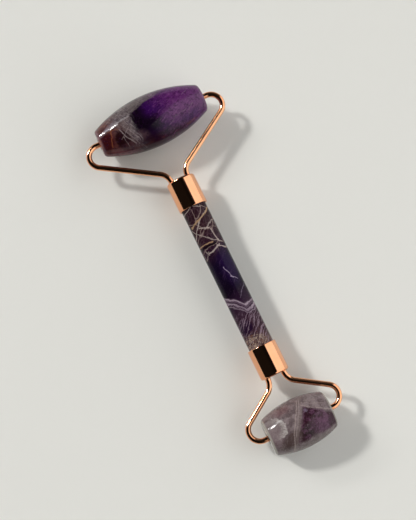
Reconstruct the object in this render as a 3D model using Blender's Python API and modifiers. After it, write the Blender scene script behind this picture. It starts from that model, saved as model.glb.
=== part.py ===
"""Double-ended stone face roller.

A round stone handle is held at both ends in thin metal ferrules. Two bent wire arms leave each
ferrule, reach round the ends of a barrel-shaped stone and turn inwards, and their ends are the
axle pins that the stone spins on.

Frame: +Y runs along the handle towards the large roller, X runs along both roller axes and +Z
points up from the surface that the tool lies on. The origin is under the middle of the tool.
"""

import math

import bmesh
import bpy
from mathutils import Matrix, Vector

# ---- driving dimensions, in metres --------------------------------------------------------------

HANDLE_RADIUS = 0.0045
HANDLE_VISIBLE_LENGTH = 0.0535  # between the two ferrules' mouths
HANDLE_END_CHAMFER = 0.0004
HANDLE_BORE_DEPTH = 0.0090
HANDLE_END_GAP = 0.0012  # from the handle's end face to the wires' feet inside a ferrule

FERRULE_LENGTH = 0.0110
FERRULE_WALL = 0.0005
FERRULE_FLOOR = 0.0014  # thickness of the closed end
FERRULE_END_FILLET = 0.0008
FERRULE_MOUTH_FILLET = 0.0002

WIRE_RADIUS = 0.0010
WIRE_FOOT_DEPTH = 0.0014  # how far a wire's foot stands inside the ferrule, past its floor
WIRE_FOOT_STUB = 0.0003  # straight stretch outside the ferrule, before the first bend
WIRE_FOOT_BEND = 0.0051  # bend radius of the wire's centre line beside the ferrule
WIRE_ELBOW_BEND = 0.0040  # bend radius where an arm turns in to the roller

BRAZE_WALL = 0.00035
BRAZE_HEIGHT = 0.0009
BRAZE_MARGIN = 0.0002  # from a braze ring to the ferrule's inner wall

STUD_MARGIN = 0.0005  # from the stud to the braze rings on both sides of it
STUD_SEAT_DEPTH = 0.0007  # how far the stud's foot is let into the ferrule's floor
STUD_TIP_GAP = 0.0010  # from the stud's tip to the floor of the handle's bore
STUD_GROOVE_DEPTH = 0.0002
STUD_GROOVE_PITCH = 0.0012
STUD_TIP_CHAMFER = 0.0003
EPOXY_WALL = 0.0004

BUSH_WALL = 0.00072
BUSH_LENGTH = 0.0070
BUSH_RECESS = 0.0003  # how far a bush sits below the stone's end face
BUSH_CHAMFER = 0.0002
BORE_CLEARANCE = 0.0003  # round a pin's tip, in the drilled hole between the two bushes
PIN_OVERRUN = 0.0005  # how far an axle pin reaches past its bush

LARGE_STONE_RADIUS = 0.0094
LARGE_STONE_LENGTH = 0.0400
LARGE_STONE_END_RADIUS = 0.0047
LARGE_STONE_END_FILLET = 0.0010
LARGE_STONE_GAP = 0.0139  # from the ferrule's end face to the stone
LARGE_ELBOW_REACH = 0.0055  # from the stone's end face to the wire's centre at its outermost

SMALL_STONE_RADIUS = 0.0087
SMALL_STONE_LENGTH = 0.0236
SMALL_STONE_END_RADIUS = 0.0064
SMALL_STONE_END_FILLET = 0.0012
SMALL_STONE_GAP = 0.0096
SMALL_ELBOW_REACH = 0.0052

GLUE_GAP = 0.0002  # round the handle in its ferrules
SEAT_GAP = 0.0001  # between pieces that are brazed, bonded or pressed together
RUNNING_GAP = 0.00008  # round an axle pin in its bush

# ---- sizes and places that follow from them -----------------------------------------------------

FERRULE_BORE_RADIUS = HANDLE_RADIUS + GLUE_GAP
FERRULE_RADIUS = FERRULE_BORE_RADIUS + FERRULE_WALL
FERRULE_DEPTH = FERRULE_LENGTH - FERRULE_FLOOR
HANDLE_INSERTION = FERRULE_DEPTH - WIRE_FOOT_DEPTH - HANDLE_END_GAP
HANDLE_LENGTH = HANDLE_VISIBLE_LENGTH + 2 * HANDLE_INSERTION

WIRE_HOLE_RADIUS = WIRE_RADIUS + SEAT_GAP
BRAZE_RADIUS = WIRE_HOLE_RADIUS + BRAZE_WALL
WIRE_FOOT_SPREAD = FERRULE_BORE_RADIUS - BRAZE_MARGIN - BRAZE_RADIUS
STUD_RADIUS = WIRE_FOOT_SPREAD - BRAZE_RADIUS - STUD_MARGIN
STUD_SEAT_RADIUS = STUD_RADIUS + SEAT_GAP
HANDLE_BORE_RADIUS = STUD_SEAT_RADIUS + EPOXY_WALL + SEAT_GAP

BUSH_BORE_RADIUS = WIRE_RADIUS + RUNNING_GAP
BUSH_RADIUS = BUSH_BORE_RADIUS + BUSH_WALL
BUSH_SEAT_RADIUS = BUSH_RADIUS + SEAT_GAP
STONE_BORE_RADIUS = WIRE_RADIUS + BORE_CLEARANCE

FERRULE_END = HANDLE_VISIBLE_LENGTH / 2 + FERRULE_LENGTH  # from the handle's middle
LARGE_AXLE_REACH = LARGE_STONE_GAP + LARGE_STONE_RADIUS  # from the ferrule's end face
SMALL_AXLE_REACH = SMALL_STONE_GAP + SMALL_STONE_RADIUS
LARGE_TIP = FERRULE_END + LARGE_AXLE_REACH + LARGE_STONE_RADIUS
SMALL_TIP = FERRULE_END + SMALL_AXLE_REACH + SMALL_STONE_RADIUS
HANDLE_CENTRE_Y = (SMALL_TIP - LARGE_TIP) / 2
AXLE_HEIGHT = max(LARGE_STONE_RADIUS, SMALL_STONE_RADIUS)

# ---- how finely round shapes are divided --------------------------------------------------------

STONE_SIDES = 44
ROD_SIDES = 40
FITTING_SIDES = 20
WIRE_BEVEL_RESOLUTION = 4
BEND_STEP = math.radians(15.0)  # a wire's bend has a point at least this often
BARREL_STEP = math.radians(2.8)  # and a barrel's side at least this often
MERGE_DISTANCE = 0.00001

# ---- finishes: name, colour, roughness, metallic ------------------------------------------------

PLATED = ("rose_gold", (0.86, 0.52, 0.38, 1.0), 0.08, 1.0)
BRAZE = ("braze_alloy", (0.78, 0.62, 0.40, 1.0), 0.35, 1.0)
STEEL = ("bright_steel", (0.62, 0.61, 0.60, 1.0), 0.30, 1.0)
RESIN = ("clear_epoxy", (0.80, 0.76, 0.62, 1.0), 0.30, 0.0)
POLYMER = ("bush_polymer", (0.85, 0.84, 0.80, 1.0), 0.40, 0.0)
BANDED = ("banded_amethyst", (0.20, 0.13, 0.21, 1.0), 0.12, 0.0)
DEEP = ("deep_amethyst", (0.17, 0.07, 0.22, 1.0), 0.10, 0.0)
PALE = ("pale_amethyst", (0.34, 0.26, 0.32, 1.0), 0.10, 0.0)


def new_collection(name):
    collection = bpy.data.collections.new(name)
    bpy.context.scene.collection.children.link(collection)
    return collection


def new_material(part_name, finish):
    """A Principled material of its own for one sub-part."""
    kind, colour, roughness, metallic = finish
    material = bpy.data.materials.new(f"{part_name}_{kind}")
    material.use_nodes = True
    shader = material.node_tree.nodes["Principled BSDF"]
    shader.inputs["Base Color"].default_value = colour
    shader.inputs["Roughness"].default_value = roughness
    shader.inputs["Metallic"].default_value = metallic
    return material


def place(part, location, z_towards):
    """Turns a part's local Z towards a direction and moves it, within its parent if it has one."""
    turn = Vector(z_towards).to_track_quat("Z", "Y")
    part.matrix_basis = Matrix.Translation(location) @ turn.to_matrix().to_4x4()


def top_fillet(radius, height, size, steps):
    """(radius, height) points down a rounded top corner whose sharp corner is given."""
    turns = [math.pi / 2 * step / steps for step in range(steps + 1)]
    return [
        (radius - size * (1 - math.sin(turn)), height - size * (1 - math.cos(turn)))
        for turn in turns
    ]


def bottom_fillet(radius, height, size, steps):
    """The same round a bottom corner, again from top to bottom."""
    return [(r, 2 * height - h) for r, h in reversed(top_fillet(radius, height, size, steps))]


def turned(name, profile, closed, sides, finish, collection):
    """A solid turned about local Z from a profile that runs down its outer side.

    A closed profile makes a ring. An open one starts and ends on the axis.
    """
    mesh = bpy.data.meshes.new(name)
    last = len(profile) - 1
    edges = [(i, i + 1) for i in range(last)]
    if closed:
        edges.append((last, 0))
    mesh.from_pydata([(radius, 0.0, height) for radius, height in profile], edges, [])
    mesh.materials.append(new_material(name, finish))
    part = bpy.data.objects.new(name, mesh)
    collection.objects.link(part)
    screw = part.modifiers.new("turn", "SCREW")
    screw.axis = "Z"
    screw.angle = 2 * math.pi
    screw.steps = sides
    screw.render_steps = sides
    screw.use_merge_vertices = True
    screw.merge_threshold = MERGE_DISTANCE
    screw.use_smooth_shade = True
    return part


def wire(name, points, finish, collection):
    """A round wire through these points, as a bevelled curve with closed ends."""
    curve = bpy.data.curves.new(name, "CURVE")
    curve.dimensions = "3D"
    curve.bevel_depth = WIRE_RADIUS
    curve.bevel_resolution = WIRE_BEVEL_RESOLUTION
    curve.use_fill_caps = True
    curve.materials.append(new_material(name, finish))
    spline = curve.splines.new("POLY")
    spline.points.add(len(points) - 1)
    for point, (x, y, z) in zip(spline.points, points):
        point.co = (x, y, z, 1.0)
    part = bpy.data.objects.new(name, curve)
    collection.objects.link(part)
    return part


def drill(part, radius, length, centre, direction, cutters):
    """Cuts a round hole of this length, with its middle at centre, through a part."""
    shape = bmesh.new()
    bmesh.ops.create_cone(
        shape,
        cap_ends=True,
        segments=FITTING_SIDES,
        radius1=radius,
        radius2=radius,
        depth=length,
    )
    mesh = bpy.data.meshes.new(f"{part.name}_drill")
    shape.to_mesh(mesh)
    shape.free()
    cutter = bpy.data.objects.new(mesh.name, mesh)
    cutter.hide_render = True
    cutter.display_type = "WIRE"
    cutters.objects.link(cutter)
    place(cutter, centre, direction)
    cut = part.modifiers.new("drill", "BOOLEAN")
    cut.operation = "DIFFERENCE"
    cut.solver = "EXACT"
    cut.object = cutter


def arc_points(centre, radius, start, end):
    """Points along an arc from one angle to another, ends included."""
    steps = math.ceil(abs(end - start) / BEND_STEP)
    angles = [start + (end - start) * step / steps for step in range(steps + 1)]
    return [
        (centre[0] + radius * math.cos(angle), centre[1] + radius * math.sin(angle))
        for angle in angles
    ]


def arm_path(elbow_x, axle_reach, pin_tip):
    """The centre line of a right-hand arm, as (x, distance past the ferrule's end face).

    It rises out of the ferrule, bends outwards, runs straight along the tangent that crosses
    between the two bends, turns round the elbow and runs in along the roller's axis.
    """
    foot_centre = (WIRE_FOOT_SPREAD + WIRE_FOOT_BEND, WIRE_FOOT_STUB)
    elbow_centre = (elbow_x - WIRE_ELBOW_BEND, axle_reach - WIRE_ELBOW_BEND)
    across = elbow_centre[0] - foot_centre[0]
    along = elbow_centre[1] - foot_centre[1]
    crossing = math.asin((WIRE_FOOT_BEND + WIRE_ELBOW_BEND) / math.hypot(across, along))
    slope = math.atan2(along, across) - crossing
    foot_bend = arc_points(foot_centre, WIRE_FOOT_BEND, math.pi, math.pi / 2 + slope)
    elbow = arc_points(elbow_centre, WIRE_ELBOW_BEND, slope - math.pi / 2, math.pi / 2)
    foot_end = (WIRE_FOOT_SPREAD, -FERRULE_FLOOR - WIRE_FOOT_DEPTH)
    return [foot_end, *foot_bend, *elbow, (pin_tip, axle_reach)]


def barrel_side(length, radius, end_radius, end_fillet):
    """Outer points of a barrel stone: an arc that swells to the middle, and rounded ends."""
    half = length / 2
    swell = radius - end_radius
    arc = (half * half + swell * swell) / (2 * swell)
    sweep = math.asin((half - end_fillet) / arc)
    # An odd count leaves a narrow level band at the crown, which the stone stands on.
    steps = 2 * math.ceil(sweep / BARREL_STEP) - 1
    turns = [sweep - 2 * sweep * step / steps for step in range(steps + 1)]
    side = [(radius - arc * (1 - math.cos(turn)), arc * math.sin(turn)) for turn in turns]
    shoulder = side[0][0]
    top = top_fillet(shoulder, half, end_fillet, 4)[:-1]
    bottom = bottom_fillet(shoulder, -half, end_fillet, 4)[1:]
    return [*top, *side, *bottom]


def make_handle(collection):
    """The stone rod, with a blind bore in each end for the studs."""
    half = HANDLE_LENGTH / 2
    bore_floor = half - HANDLE_BORE_DEPTH
    profile = [
        (0.0, bore_floor),
        (HANDLE_BORE_RADIUS, bore_floor),
        (HANDLE_BORE_RADIUS, half),
        (HANDLE_RADIUS - HANDLE_END_CHAMFER, half),
        (HANDLE_RADIUS, half - HANDLE_END_CHAMFER),
        (HANDLE_RADIUS, HANDLE_END_CHAMFER - half),
        (HANDLE_RADIUS - HANDLE_END_CHAMFER, -half),
        (HANDLE_BORE_RADIUS, -half),
        (HANDLE_BORE_RADIUS, -bore_floor),
        (0.0, -bore_floor),
    ]
    handle = turned("handle_stone", profile, False, ROD_SIDES, BANDED, collection)
    place(handle, (0.0, HANDLE_CENTRE_Y, AXLE_HEIGHT), (0, 1, 0))


def make_ferrule(end, mouth, outwards, collection):
    """A thin cup that opens towards the handle, with a seat for the stud in its floor."""
    profile = [
        (0.0, FERRULE_LENGTH),
        *top_fillet(FERRULE_RADIUS, FERRULE_LENGTH, FERRULE_END_FILLET, 5),
        *bottom_fillet(FERRULE_RADIUS, 0.0, FERRULE_MOUTH_FILLET, 2),
        (FERRULE_BORE_RADIUS, 0.0),
        (FERRULE_BORE_RADIUS, FERRULE_DEPTH),
        (STUD_SEAT_RADIUS, FERRULE_DEPTH),
        (STUD_SEAT_RADIUS, FERRULE_DEPTH + STUD_SEAT_DEPTH),
        (0.0, FERRULE_DEPTH + STUD_SEAT_DEPTH),
    ]
    ferrule = turned(f"{end}_ferrule", profile, False, ROD_SIDES, PLATED, collection)
    place(ferrule, mouth, outwards)
    return ferrule


def make_stud(end, mouth, outwards, collection):
    """A grooved stud from the ferrule's floor into the handle, and the epoxy cast round it."""
    bore_floor = HANDLE_INSERTION - HANDLE_BORE_DEPTH
    tip = bore_floor + STUD_TIP_GAP
    grooved = HANDLE_INSERTION - tip - STUD_TIP_CHAMFER
    grooves = int(grooved / STUD_GROOVE_PITCH)
    foot = FERRULE_DEPTH + STUD_SEAT_DEPTH - SEAT_GAP
    profile = [(0.0, foot), (STUD_RADIUS, foot)]
    for groove in reversed(range(grooves)):
        middle = tip + STUD_TIP_CHAMFER + STUD_GROOVE_PITCH * (groove + 0.5)
        profile += [
            (STUD_RADIUS, middle + STUD_GROOVE_DEPTH),
            (STUD_RADIUS - STUD_GROOVE_DEPTH, middle),
            (STUD_RADIUS, middle - STUD_GROOVE_DEPTH),
        ]
    profile += [
        (STUD_RADIUS, tip + STUD_TIP_CHAMFER),
        (STUD_RADIUS - STUD_TIP_CHAMFER, tip),
        (0.0, tip),
    ]
    stud = turned(f"{end}_stud", profile, False, FITTING_SIDES, STEEL, collection)
    place(stud, mouth, outwards)

    cast_radius = HANDLE_BORE_RADIUS - SEAT_GAP
    cast_floor = bore_floor + SEAT_GAP
    epoxy_profile = [
        (0.0, tip - SEAT_GAP),
        (STUD_SEAT_RADIUS, tip - SEAT_GAP),
        (STUD_SEAT_RADIUS, HANDLE_INSERTION),
        (cast_radius, HANDLE_INSERTION),
        (cast_radius, cast_floor),
        (0.0, cast_floor),
    ]
    epoxy = turned(f"{end}_epoxy", epoxy_profile, False, FITTING_SIDES, RESIN, collection)
    place(epoxy, mouth, outwards)


def make_yoke(end, sense, stone_length, elbow_reach, axle_reach, collection, cutters):
    """A ferrule with its stud, two arms and the braze rings round their feet.

    The sense is 1 at the end towards +Y and -1 at the other.
    """
    mouth = Vector((0.0, HANDLE_CENTRE_Y + sense * HANDLE_VISIBLE_LENGTH / 2, AXLE_HEIGHT))
    outwards = Vector((0.0, sense, 0.0))
    ferrule = make_ferrule(end, mouth, outwards, collection)
    make_stud(end, mouth, outwards, collection)

    stone_end = stone_length / 2
    pin_tip = stone_end - BUSH_RECESS - BUSH_LENGTH - PIN_OVERRUN
    path = arm_path(stone_end + elbow_reach, axle_reach, pin_tip)
    end_face = mouth + outwards * FERRULE_LENGTH
    hole_centre = mouth + outwards * (FERRULE_DEPTH + FERRULE_FLOOR / 2)
    braze_foot = mouth + outwards * (FERRULE_DEPTH - SEAT_GAP - BRAZE_HEIGHT)
    braze_profile = [
        (WIRE_HOLE_RADIUS, BRAZE_HEIGHT),
        (BRAZE_RADIUS, BRAZE_HEIGHT),
        (BRAZE_RADIUS, 0.0),
        (WIRE_HOLE_RADIUS, 0.0),
    ]
    for side, sign in (("left", -1), ("right", 1)):
        name = f"{end}_{side}"
        centre_line = [end_face + Vector((sign * x, sense * y, 0.0)) for x, y in path]
        wire(f"{name}_arm", centre_line, PLATED, collection)
        aside = Vector((sign * WIRE_FOOT_SPREAD, 0.0, 0.0))
        drill(
            ferrule, WIRE_HOLE_RADIUS, 2 * FERRULE_FLOOR, hole_centre + aside, outwards, cutters
        )
        braze = turned(f"{name}_braze", braze_profile, True, FITTING_SIDES, BRAZE, collection)
        place(braze, braze_foot + aside, outwards)


def make_roller(end, stone_length, side_points, axle_y, finish, collection):
    """A barrel stone with a stepped bore and a bush in each end, all on one axle empty."""
    axle = bpy.data.objects.new(f"{end}_roller_axle", None)
    axle.location = (0.0, axle_y, AXLE_HEIGHT)
    collection.objects.link(axle)

    half = stone_length / 2
    seat_floor = half - BUSH_RECESS - BUSH_LENGTH - SEAT_GAP
    bore_points = [
        (BUSH_SEAT_RADIUS, -half),
        (BUSH_SEAT_RADIUS, -seat_floor),
        (STONE_BORE_RADIUS, -seat_floor),
        (STONE_BORE_RADIUS, seat_floor),
        (BUSH_SEAT_RADIUS, seat_floor),
        (BUSH_SEAT_RADIUS, half),
    ]
    profile = [*side_points, *bore_points]
    stone = turned(f"{end}_roller_stone", profile, True, STONE_SIDES, finish, collection)
    stone.parent = axle
    place(stone, (0.0, 0.0, 0.0), (1, 0, 0))

    bush_profile = [
        (BUSH_BORE_RADIUS, BUSH_LENGTH),
        (BUSH_RADIUS - BUSH_CHAMFER, BUSH_LENGTH),
        (BUSH_RADIUS, BUSH_LENGTH - BUSH_CHAMFER),
        (BUSH_RADIUS, BUSH_CHAMFER),
        (BUSH_RADIUS - BUSH_CHAMFER, 0.0),
        (BUSH_BORE_RADIUS, 0.0),
    ]
    for side, sign in (("left", -1), ("right", 1)):
        bush = turned(
            f"{end}_{side}_bush", bush_profile, True, FITTING_SIDES, POLYMER, collection
        )
        bush.parent = axle
        place(bush, (sign * (half - BUSH_RECESS), 0.0, 0.0), (-sign, 0, 0))


for old in list(bpy.data.objects):
    bpy.data.objects.remove(old, do_unlink=True)
roller_parts = new_collection("face_roller")
drills = new_collection("cutters")

make_handle(roller_parts)
make_yoke(
    "large", 1, LARGE_STONE_LENGTH, LARGE_ELBOW_REACH, LARGE_AXLE_REACH, roller_parts, drills
)
make_yoke(
    "small", -1, SMALL_STONE_LENGTH, SMALL_ELBOW_REACH, SMALL_AXLE_REACH, roller_parts, drills
)

large_side = barrel_side(
    LARGE_STONE_LENGTH, LARGE_STONE_RADIUS, LARGE_STONE_END_RADIUS, LARGE_STONE_END_FILLET
)
small_side = barrel_side(
    SMALL_STONE_LENGTH, SMALL_STONE_RADIUS, SMALL_STONE_END_RADIUS, SMALL_STONE_END_FILLET
)
large_axle_y = HANDLE_CENTRE_Y + FERRULE_END + LARGE_AXLE_REACH
small_axle_y = HANDLE_CENTRE_Y - FERRULE_END - SMALL_AXLE_REACH
make_roller("large", LARGE_STONE_LENGTH, large_side, large_axle_y, DEEP, roller_parts)
make_roller("small", SMALL_STONE_LENGTH, small_side, small_axle_y, PALE, roller_parts)
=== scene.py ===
"""Looks of a double-ended stone face roller, in the order that the tool is put together.

Sizes are in metres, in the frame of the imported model: +Y runs along the handle towards the large
roller, X runs along both roller axes and +Z points up from the surface that the tool lies on.
"""

import math

import bmesh
import bpy
import numpy as np
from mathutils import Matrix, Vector


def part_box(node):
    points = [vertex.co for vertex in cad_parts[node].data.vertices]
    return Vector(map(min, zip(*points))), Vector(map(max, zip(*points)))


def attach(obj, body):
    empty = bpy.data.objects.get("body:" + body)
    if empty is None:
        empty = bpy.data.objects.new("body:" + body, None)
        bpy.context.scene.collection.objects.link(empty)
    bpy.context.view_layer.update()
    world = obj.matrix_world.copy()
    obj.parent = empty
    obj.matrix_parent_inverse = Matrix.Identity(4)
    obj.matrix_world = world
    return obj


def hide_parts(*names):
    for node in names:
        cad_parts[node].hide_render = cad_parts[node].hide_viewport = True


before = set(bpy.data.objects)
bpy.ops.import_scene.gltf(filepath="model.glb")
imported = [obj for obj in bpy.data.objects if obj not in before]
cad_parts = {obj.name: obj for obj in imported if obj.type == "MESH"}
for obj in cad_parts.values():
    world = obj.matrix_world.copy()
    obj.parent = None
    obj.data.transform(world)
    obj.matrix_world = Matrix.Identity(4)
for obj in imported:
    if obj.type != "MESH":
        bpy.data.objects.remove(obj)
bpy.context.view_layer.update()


# ---- the handle rod -----------------------------------------------------------------------------
# A round rod of banded amethyst, ground true and tumbled to a gloss. Its two ends are drilled for
# the studs and chamfered. Dark violet fills its middle, and pale quartz veins net both its ends.

MILLIMETRE = 0.001
CLOSE_BY = 1e-6  # points nearer than this to each other are one point
SHARP_EDGE = math.radians(38)


def rounded(corners, fillets, steps=6, margin=6e-5, ring=False):
    """A profile with rounded corners, as an array of (radius, distance) points.

    Each corner with a fillet becomes the arc that touches both its sides: it starts and ends
    fillet * tan(turn / 2) away from the corner. A long straight run gets a point near each of its
    ends, which keeps the shading of the arcs off its flat middle. A ring's last corner is joined
    to its first, and another profile's two ends keep their places.
    """
    corners = [np.array(corner, float) for corner in corners]
    path = [corners[-1], *corners, corners[0]] if ring else corners
    points = [] if ring else [corners[0]]
    bends = fillets if ring else fillets[1:-1]
    for before, corner, after, fillet in zip(path, path[1:], path[2:], bends):
        arriving = (corner - before) / np.linalg.norm(corner - before)
        leaving = (after - corner) / np.linalg.norm(after - corner)
        turn = math.acos(np.clip(arriving @ leaving, -1, 1))
        if fillet == 0 or turn < 1e-4:
            points.append(corner)
            continue
        reach = fillet * math.tan(turn / 2)
        start = corner - arriving * reach
        inwards = leaving - arriving * math.cos(turn)
        inwards /= np.linalg.norm(inwards)
        for angle in np.linspace(0, turn, steps + 1):
            step = arriving * math.sin(angle) + inwards * (1 - math.cos(angle))
            points.append(start + fillet * step)
    points.append(points[0] if ring else corners[-1])
    dense = [points[0]]
    for before, after in zip(points, points[1:]):
        run = np.linalg.norm(after - before)
        if run > 5 * margin:
            dense.append(before + (after - before) * margin / run)
            dense.append(after - (after - before) * margin / run)
        dense.append(after)
    return np.array(dense[:-1] if ring else dense)


def skin(name, grid, loop_rows=False):
    """A closed mesh over a grid of points, rows by columns, whose columns run round in a ring.

    Point (i, j) joins (i + 1, j), (i + 1, j + 1) and (i, j + 1) in one face. With loop_rows the
    last row joins the first. A row that is one point repeated becomes a pole.
    """
    rows, columns = grid.shape[:2]
    i = np.arange(rows if loop_rows else rows - 1)[:, None]
    j = np.arange(columns)[None, :]
    below, right = (i + 1) % rows, (j + 1) % columns
    faces = np.stack(
        [i * columns + j, below * columns + j, below * columns + right, i * columns + right], -1
    ).reshape(-1, 4)
    mesh = bpy.data.meshes.new(name)
    mesh.from_pydata(grid.reshape(-1, 3), [], faces)
    shell = bmesh.new()
    shell.from_mesh(mesh)
    bmesh.ops.remove_doubles(shell, verts=shell.verts, dist=CLOSE_BY)
    bmesh.ops.recalc_face_normals(shell, faces=shell.faces)
    shell.to_mesh(mesh)
    shell.free()
    mesh.shade_smooth()
    mesh.set_sharp_from_angle(angle=SHARP_EDGE)
    piece = bpy.data.objects.new(name, mesh)
    bpy.context.scene.collection.objects.link(piece)
    return piece


def turned(name, profile, foot, along, sides=96, ring=False):
    """A body turned about a line that starts at foot and runs in the direction along.

    A profile point (radius, distance) goes round it at even angles:
    foot + distance * along + radius * (cos(angle) * side + sin(angle) * up).
    A ring's profile closes on itself, and any other one starts and ends on the line.
    """
    along = np.array(along, float)
    up = np.array([0.0, 0.0, 1.0])
    side = np.cross(up, along)
    angle = np.arange(sides) * 2 * math.pi / sides
    outwards = np.cos(angle)[:, None] * side + np.sin(angle)[:, None] * up
    profile = np.asarray(profile, float)
    line = np.array(foot, float) + profile[:, 1, None] * along
    grid = line[:, None, :] + profile[:, 0, None, None] * outwards[None, :, :]
    return skin(name, grid, ring)


class Wire:
    """An output of a shader node. Arithmetic on it adds the Math node that does it."""

    def __init__(self, finish, socket):
        self.finish, self.socket = finish, socket

    def __getitem__(self, name):
        return Wire(self.finish, self.socket.node.outputs[name])

    def math(self, operation, *values):
        numbered = dict(enumerate(values))
        return self.finish.node("ShaderNodeMath", {"operation": operation}, numbered)

    def __add__(self, other):
        return self.math("ADD", self, other)

    def __sub__(self, other):
        return self.math("SUBTRACT", self, other)

    def __rsub__(self, other):
        return self.math("SUBTRACT", other, self)

    def __mul__(self, other):
        return self.math("MULTIPLY", self, other)

    def __abs__(self):
        return self.math("ABSOLUTE", self)

    def at_least(self, other):
        return self.math("MAXIMUM", self, other)

    __radd__ = __add__
    __rmul__ = __mul__


def tone(red, green, blue):
    """A colour from its three display values, 0 to 255, each undone by the sRGB curve."""
    display = np.array([red, green, blue]) / 255
    linear = np.where(display <= 0.04045, display / 12.92, ((display + 0.055) / 1.055) ** 2.4)
    return (*linear.tolist(), 1.0)


class Nodes:
    """A node tree that is being built."""

    def __init__(self, tree):
        self.tree = tree

    def plug(self, socket, value):
        if isinstance(value, Wire):
            self.tree.links.new(value.socket, socket)
        else:
            socket.default_value = value

    def node(self, kind, settings, values, output=0):
        """Adds a node: first its settings, then its sockets' values or wires."""
        node = self.tree.nodes.new(kind)
        for name, value in settings.items():
            if name == "stops":
                stops = node.color_ramp.elements
                stops.remove(stops[1])
                stops[0].position, stops[0].color = value[0]
                for place, colour in value[1:]:
                    stops.new(place).color = colour
            else:
                setattr(node, name, value)
        for name, value in values.items():
            self.plug(node.inputs[name], value)
        return Wire(self, node.outputs[output])

    def vector(self, operation, *values, output=0):
        settings = {"operation": operation}
        return self.node("ShaderNodeVectorMath", settings, dict(enumerate(values)), output)

    def smooth(self, value, start, end):
        """0 before start and 1 after end, with a smooth S between them. Start may be higher."""
        values = {"Value": value, "From Min": start, "From Max": end}
        return self.node("ShaderNodeMapRange", {"interpolation_type": "SMOOTHSTEP"}, values)


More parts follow.
